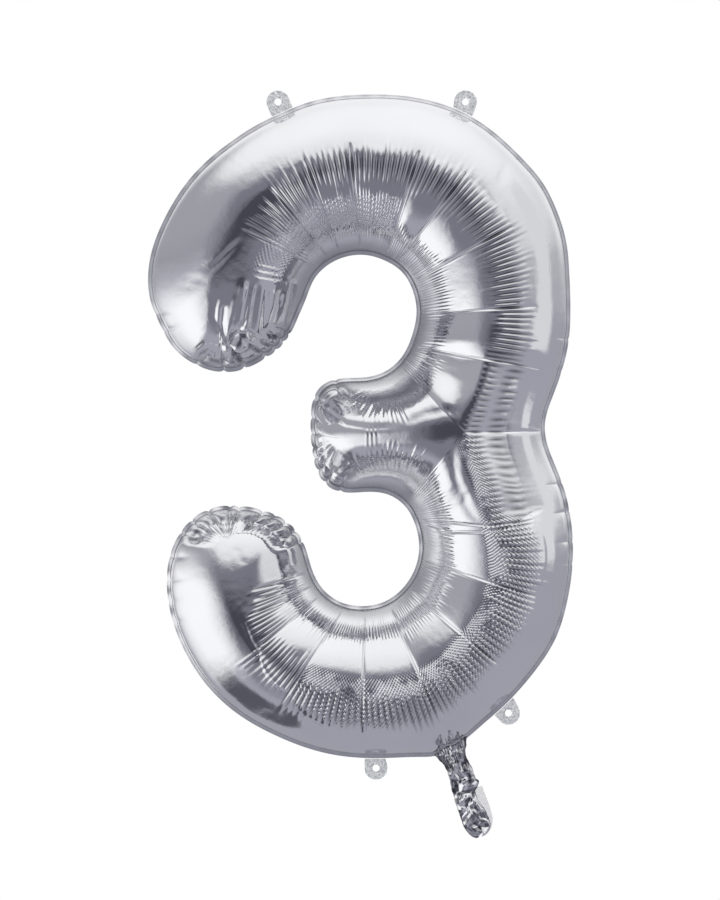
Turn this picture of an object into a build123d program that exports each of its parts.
from build123d import *
import math
import os

# Foil number balloon, digit 3. Millimetres, +Z up, +X to the right of a person
# who faces the balloon, front towards -Y. The weld plane is Y = 0 and the
# origin is the centre of the whole object's box.

# ---------------------------------------------------------------- dimensions
wall = 0.8              # stand-in for the film, which is a few hundredths thick
weld_thickness = 0.6
cut_samples = 320       # straight pieces that stand in for the smooth cut line

tab_thickness = 0.5
tab_radius = 14.9       # rounded end of a hang tab
eyelet_radius = 4.5

# Neck and tail. Distances "at" run down the tail from the upper crease.
ply_inner = 0.4         # the gas channel is 2 * ply_inner deep
ply_outer = 0.9
side_weld = 3.0         # welded side strips
neck_waist_half = 14.2  # right half width where the neck is narrowest
upper_crease_x, upper_crease_z = 129.8, -399.3      # middle of the neck-to-tail crease
tail_dx, tail_dz = 0.307, -0.9517   # direction in which the tail hangs
upper_crease_half = 16.4            # half width
upper_crease_clear = 1.1            # film left out on each side of the crease
lower_crease_at = 20.8
lower_crease_half = 18.6
lower_crease_clear = 1.6
lobe_at = 67.3          # centre of the rounded end
lobe_radius = 21.0
channel_overrun = 1.0   # the channel cut runs past the ply's ends at the creases
mouth_overrun = 2.0     # and past the rounded end

# Valve. Distances "at" run up from the upper crease.
valve_half = 17.0       # half width
valve_at = 49.0         # lower end of the films
valve_length = 112.0
valve_film = 0.3
valve_gap = 0.1         # from the weld plane to each valve film
valve_corner_radius = 8

# Slot through the rim that lets the gas pass from the neck to the chamber.
slot_width = 2 * valve_half + 1
slot_at = 46            # middle of the slot
slot_length = 24
slot_half_depth = 0.5

# Points on the cut line, (x, z), counter-clockwise seen from the front.
cut_line = [
    (-0.5, 478.8), (-32.7, 476.3), (-66.0, 469.4), (-99.4, 456.5), (-134.1, 439.8),
    (-166.2, 419.2), (-197.1, 394.8), (-222.7, 367.9), (-244.5, 335.8), (-261.2, 302.4),
    (-271.5, 271.8), (-275.3, 238.7), (-271.5, 209.6), (-260.0, 181.5), (-242.2, 150.9),
    (-217.0, 130.8), (-186.8, 120.1), (-156.7, 121.4), (-131.4, 132.1), (-109.8, 146.1),
    (-92.2, 166.2), (-80.8, 190.5), (-70.4, 215.0), (-59.8, 240.0), (-40.9, 259.0),
    (-18.1, 269.0), (6.1, 271.0), (30.2, 264.4), (53.0, 249.6), (67.9, 224.0),
    (72.5, 197.2), (67.9, 170.6), (55.9, 142.7), (35.7, 122.5), (8.8, 113.0),
    (-19.9, 111.7), (-43.5, 106.2), (-58.0, 92.3), (-64.1, 70.0), (-64.8, 41.9),
    (-62.2, 12.4), (-54.1, -14.0), (-39.4, -30.5), (-19.8, -36.6), (7.0, -35.9),
    (33.8, -38.7), (57.0, -53.6), (71.1, -79.2), (75.8, -108.5), (70.4, -135.3),
    (54.4, -160.8), (30.2, -178.2), (0.6, -183.6), (-27.6, -177.6), (-50.6, -159.3),
    (-64.0, -132.6), (-71.7, -106.8), (-85.5, -83.0), (-104.3, -68.0), (-130.8, -57.9),
    (-158.8, -53.4), (-187.9, -55.3), (-212.9, -66.6), (-230.4, -84.1), (-243.1, -106.9),
    (-250.7, -139.8), (-249.4, -175.5), (-240.4, -212.6), (-225.1, -247.2),
    (-204.6, -279.2), (-180.2, -306.1), (-150.8, -329.1), (-116.1, -348.4),
    (-80.1, -363.8), (-42.9, -374.7), (-5.6, -379.9), (35.5, -380.5), (74.5, -379.2),
    (98.4, -377.4), (117.2, -368.6), (136.4, -355.8), (158.3, -337.1), (185.4, -313.2),
    (213.7, -283.0), (235.6, -254.7), (253.5, -224.0), (265.0, -189.5), (272.7, -149.6),
    (275.3, -108.5), (272.7, -72.6), (263.7, -31.6), (250.9, 1.9), (240.3, 33.5),
    (239.7, 57.7), (248.2, 85.5), (259.8, 117.7), (268.8, 153.6), (272.0, 199.8),
    (270.7, 245.0), (266.2, 290.0), (253.4, 331.0), (235.6, 365.5), (212.5, 393.0),
    (184.2, 420.7), (153.4, 444.4), (121.4, 461.0), (86.9, 471.9), (44.5, 478.3),
]

# The inflated chamber as two swept tubes. Each entry is one cross-section:
# its inner end and its outer end in the weld plane, (x, z), and its half depth.
# The upper tube runs from the tip of the upper arm round the upper bowl and
# back along the middle arm. The lower one grows out of it at the waist and
# runs round the lower bowl to the tip of the lower arm.
upper_tube = [
    ((-168.5, 124.0), (-181.0, 124.0), 6.0),
    ((-155.0, 128.0), (-196.0, 128.0), 18.5),
    ((-142.5, 133.0), (-208.5, 133.0), 30.0),
    ((-127.3, 140.2), (-222.7, 140.2), 43.0),
    ((-109.4, 153.2), (-237.4, 153.2), 58.0),
    ((-96.6, 168.7), (-247.9, 168.7), 69.0),
    ((-87.8, 186.9), (-256.9, 186.9), 76.5),
    ((-80.0, 207.0), (-264.5, 222.0), 82.0),
    ((-75.4, 216.1), (-266.5, 264.0), 85.0),
    ((-69.9, 230.9), (-245.3, 324.2), 87.0),
    ((-61.6, 246.5), (-212.0, 372.7), 87.0),
    ((-45.7, 261.9), (-156.4, 420.0), 87.0),
    ((-25.9, 272.0), (-92.2, 454.1), 87.5),
    ((-4.1, 276.3), (-21.3, 472.4), 88.5),
    ((17.7, 274.1), (52.7, 472.5), 90.0),
    ((37.9, 266.3), (125.3, 453.9), 91.0),
    ((55.4, 254.3), (187.1, 411.2), 91.0),
    ((67.8, 237.2), (236.1, 355.1), 91.0),
    ((74.9, 218.1), (261.8, 286.2), 89.5),
    ((77.6, 198.5), (266.8, 215.1), 87.0),
    ((75.9, 181.8), (264.0, 155.4), 86.0),
    ((72.1, 167.0), (249.3, 102.5), 86.0),
    ((67.0, 152.9), (234.0, 50.6), 87.0),
    ((58.0, 140.0), (190.0, -12.0), 87.0),
    ((48.0, 127.0), (118.0, -46.0), 82.0),
    ((34.0, 116.5), (48.0, -40.0), 74.0),
    ((5.8, 107.6), (5.8, -30.9), 66.0),
    ((-20.1, 106.7), (-20.1, -31.5), 63.0),
    ((-39.5, 102.5), (-39.5, -24.3), 57.0),
    ((-49.9, 94.9), (-49.9, -11.1), 47.5),
    ((-55.4, 86.0), (-55.4, 5.0), 36.5),
    ((-58.3, 75.0), (-58.3, 22.0), 24.0),
    ((-59.6, 60.0), (-59.6, 40.0), 9.0),
]
lower_tube = [
    ((62.0, -18.0), (150.0, 92.0), 44.0),
    ((66.0, -42.0), (196.0, 66.0), 70.0),
    ((71.4, -66.4), (234.4, 39.5), 86.0),
    ((77.6, -83.2), (253.9, -19.0), 85.5),
    ((80.5, -99.1), (267.6, -72.8), 85.5),
    ((80.3, -116.4), (269.4, -133.0), 86.0),
    ((75.7, -135.7), (256.4, -201.5), 86.5),
    ((66.7, -153.3), (223.3, -263.0), 86.5),
    ((53.8, -168.5), (176.4, -314.6), 86.5),
    ((37.4, -180.3), (119.0, -358.0), 87.0),
    ((18.2, -187.2), (51.3, -374.9), 86.0),
    ((-2.4, -188.6), (-18.5, -373.6), 84.5),
    ((-22.8, -184.9), (-85.3, -356.5), 83.0),
    ((-41.3, -175.3), (-146.7, -325.8), 83.0),
    ((-56.0, -160.6), (-197.8, -279.6), 83.0),
    ((-65.8, -142.6), (-232.2, -220.2), 82.0),
    ((-71.0, -126.6), (-245.7, -163.0), 79.0),
    ((-76.5, -108.5), (-238.3, -108.5), 73.0),
    ((-84.3, -92.9), (-230.4, -92.9), 66.0),
    ((-95.8, -80.0), (-220.5, -80.0), 56.5),
    ((-112.2, -69.6), (-208.4, -69.6), 43.5),
    ((-129.0, -63.5), (-196.5, -63.5), 30.5),
    ((-143.0, -60.0), (-182.0, -60.0), 17.5),
    ((-154.5, -58.0), (-168.5, -58.0), 6.0),
]

# Hang tabs: middle of the eyelet, and the two ends of the tab's root, which is
# straight and stands just off the cut line so that the tab can fold.
tabs = {
    "tab_top_left": ((-106.9, 469.3), (-114.76, 450.40), (-87.64, 462.33)),
    "tab_top_right": ((136.0, 469.4), (120.29, 462.59), (144.88, 450.78)),
    "tab_bottom_left": ((20.1, -393.5), (5.21, -381.35), (32.47, -381.35)),
    "tab_bottom_right": ((191.6, -322.4), (173.66, -325.13), (197.87, -302.23)),
}

# Neck ply and its gas channel in the tail plane: (across, up from the crease).
neck_outline = [
    (-upper_crease_half, upper_crease_clear), (upper_crease_half, upper_crease_clear),
    (neck_waist_half, 13.0), (neck_waist_half, 22.0), (20.1, 39.8), (24.0, 52.0),
    (-34.0, 52.0), (-34.0, 38.0), (-25.5, 29.3), (-18.7, 18.9),
]
neck_channel = [
    (-upper_crease_half + side_weld, upper_crease_clear - channel_overrun),
    (upper_crease_half - side_weld, upper_crease_clear - channel_overrun),
    (neck_waist_half - side_weld, 13.0), (neck_waist_half - side_weld, 22.0),
    (17.0, 38.0), (17.0, 56.0), (-18.0, 56.0), (-18.0, 30.0), (-15.5, 18.9),
]

# -------------------------------------------------------------------- frames
front = (0, -1, 0)

# x runs across the tail, y along it towards the body and z towards the front.
tail_plane = Plane(
    origin=(upper_crease_x, 0, upper_crease_z), x_dir=(-tail_dz, 0, tail_dx), z_dir=front
)


def across(start, end):
    """Unit vector from start to end in the weld plane, and their distance."""
    dx, dz = end[0] - start[0], end[1] - start[1]
    length = math.hypot(dx, dz)
    return dx / length, dz / length, length


def section_plane(inner, outer, shift):
    """Plane of a cross-section, moved by shift along the tube.

    Its x runs from the inner to the outer end.
    """
    unit_x, unit_z, _ = across(inner, outer)
    normal_x, normal_z = unit_z, -unit_x
    middle = (
        (inner[0] + outer[0]) / 2 + normal_x * shift,
        0,
        (inner[1] + outer[1]) / 2 + normal_z * shift,
    )
    return Plane(origin=middle, x_dir=(unit_x, 0, unit_z), z_dir=(normal_x, 0, normal_z))


def root_plane(eyelet, root_start, root_end):
    """Plane through a tab's root, facing its eyelet."""
    unit_x, unit_z, _ = across(root_start, root_end)
    normal_x, normal_z = -unit_z, unit_x
    to_eyelet = (eyelet[0] - root_start[0]) * normal_x + (eyelet[1] - root_start[1]) * normal_z
    if to_eyelet < 0:
        normal_x, normal_z = -normal_x, -normal_z
    return Plane(
        origin=(root_start[0], 0, root_start[1]), x_dir=(0, 1, 0), z_dir=(normal_x, 0, normal_z)
    )


# -------------------------------------------------------------- shape makers
def swept_tube(stations, inset=0.0):
    """Tube through the stations, smaller by inset all round and at both tips."""
    last = len(stations) - 1
    with BuildPart() as tube:
        for i, (inner, outer, depth) in enumerate(stations):
            shift = inset if i == 0 else (-inset if i == last else 0.0)
            with BuildSketch(section_plane(inner, outer, shift)):
                Ellipse(across(inner, outer)[2] / 2 - inset, depth - inset)
        loft()
    return tube.part


def strip(stations):
    """Outline of a mirrored strip given as (distance down the tail, half width)."""
    right = [(half, -distance) for distance, half in stations]
    return right + [(-x, y) for x, y in reversed(right)]


def channel_ply(outline, channel, round_end=False, cutters=()):
    """Front ply with the gas channel cut into the side at the weld plane."""
    with BuildPart() as ply:
        with BuildSketch(tail_plane):
            with BuildLine():
                Polyline(*outline, close=True)
            make_face()
            if round_end:
                with Locations((0, -lobe_at)):
                    Circle(lobe_radius)
        extrude(amount=ply_outer)
        with BuildSketch(tail_plane):
            with BuildLine():
                Polyline(*channel, close=True)
            make_face()
        extrude(amount=ply_inner, mode=Mode.SUBTRACT)
        for cutter in cutters:
            add(cutter, mode=Mode.SUBTRACT)
    return ply.part


def hang_tab(eyelet, root_start, root_end):
    """Round-ended tab with an eyelet, cut off straight at its root."""
    with BuildPart() as tab:
        with BuildSketch(Plane.XZ):
            with BuildLine():
                CenterArc(eyelet, tab_radius, 0, 360)
                Line(root_start, root_end)
            make_hull()
            with Locations(eyelet):
                Circle(eyelet_radius, mode=Mode.SUBTRACT)
        extrude(amount=tab_thickness / 2, both=True)
        split(bisect_by=root_plane(eyelet, root_start, root_end), keep=Keep.TOP)
    return tab.part


def mirrored_to_back(front_part):
    with BuildPart() as back:
        mirror(front_part, about=Plane.XZ)
    return back.part


# ------------------------------------------------------------ inflated chamber
upper_outer = swept_tube(upper_tube)
lower_outer = swept_tube(lower_tube)

with BuildPart() as gas_slot:
    with BuildSketch(tail_plane):
        with Locations((0, slot_at)):
            Rectangle(slot_width, slot_length)
    extrude(amount=slot_half_depth, both=True)

with BuildPart() as front_panel:
    add(upper_outer)
    add(lower_outer)
    # The cavity: the same tubes one wall thinner.
    add(swept_tube(upper_tube, wall), mode=Mode.SUBTRACT)
    add(swept_tube(lower_tube, wall), mode=Mode.SUBTRACT)
    add(gas_slot.part, mode=Mode.SUBTRACT)
    split(bisect_by=Plane(origin=(0, 0, 0), z_dir=front), keep=Keep.TOP)

# ----------------------------------------------------------- perimeter weld
cut_curve = Edge.make_spline([Vector(x, 0, z) for x, z in cut_line], periodic=True)
cut_points = [cut_curve.position_at(i / cut_samples) for i in range(cut_samples)]

with BuildPart() as perimeter_seam:
    with BuildSketch(Plane.XZ.offset(-weld_thickness / 2)):
        with BuildLine():
            Polyline(*[(point.X, point.Z) for point in cut_points], close=True)
        make_face()
    extrude(amount=weld_thickness)
    add(upper_outer, mode=Mode.SUBTRACT)
    add(lower_outer, mode=Mode.SUBTRACT)
    add(gas_slot.part, mode=Mode.SUBTRACT)

# -------------------------------------------------------------- neck and tail
# The neck runs from the rim of the chamber down to the upper crease; welded
# side strips close it towards the weld plane.
neck_front_ply = channel_ply(
    neck_outline, neck_channel, cutters=(upper_outer, lower_outer, perimeter_seam.part)
)

# Between the two creases.
upper_start = upper_crease_clear
upper_end = lower_crease_at - lower_crease_clear
tail_upper_front_ply = channel_ply(
    strip([(upper_start, upper_crease_half), (upper_end, lower_crease_half)]),
    strip([
        (upper_start - channel_overrun, upper_crease_half - side_weld),
        (upper_end + channel_overrun, lower_crease_half - side_weld),
    ]),
)

# The lower lobe ends round; its rounded end is left open as the filling mouth.
lower_start = lower_crease_at + lower_crease_clear
tail_lower_front_ply = channel_ply(
    strip([(lower_start, lower_crease_half), (lobe_at, lobe_radius)]),
    strip([
        (lower_start - channel_overrun, lower_crease_half - side_weld),
        (lobe_at, lobe_radius - side_weld),
        (lobe_at + lobe_radius + mouth_overrun, lobe_radius - side_weld),
    ]),
    round_end=True,
)

# ------------------------------------------------------------------ the valve
# Two clear films inside the chamber. They start at the rim, where they hinge,
# and lie together on either side of the weld plane.
with BuildPart() as valve_front_film:
    with BuildSketch(tail_plane.offset(valve_gap)):
        with Locations((0, valve_at + valve_length / 2)):
            Rectangle(2 * valve_half, valve_length)
        # The sketch is flat in its own frame, so this group holds every corner.
        fillet(vertices().group_by(Axis.Z)[-1], valve_corner_radius)
    extrude(amount=valve_film)

# ------------------------------------------------------------------- export
# Each of these has a mirrored twin at the back.
front_pieces = {
    "front_panel": front_panel.part,
    "neck_front_ply": neck_front_ply,
    "tail_upper_front_ply": tail_upper_front_ply,
    "tail_lower_front_ply": tail_lower_front_ply,
    "valve_front_film": valve_front_film.part,
}
pieces = {"perimeter_seam": perimeter_seam.part}
for name, piece in front_pieces.items():
    pieces[name] = piece
    pieces[name.replace("front", "back")] = mirrored_to_back(piece)
for name, tab_points in tabs.items():
    pieces[name] = hang_tab(*tab_points)

os.makedirs("parts", exist_ok=True)
for name, piece in pieces.items():
    piece.label = name
    export_step(piece, f"parts/{name}.step")
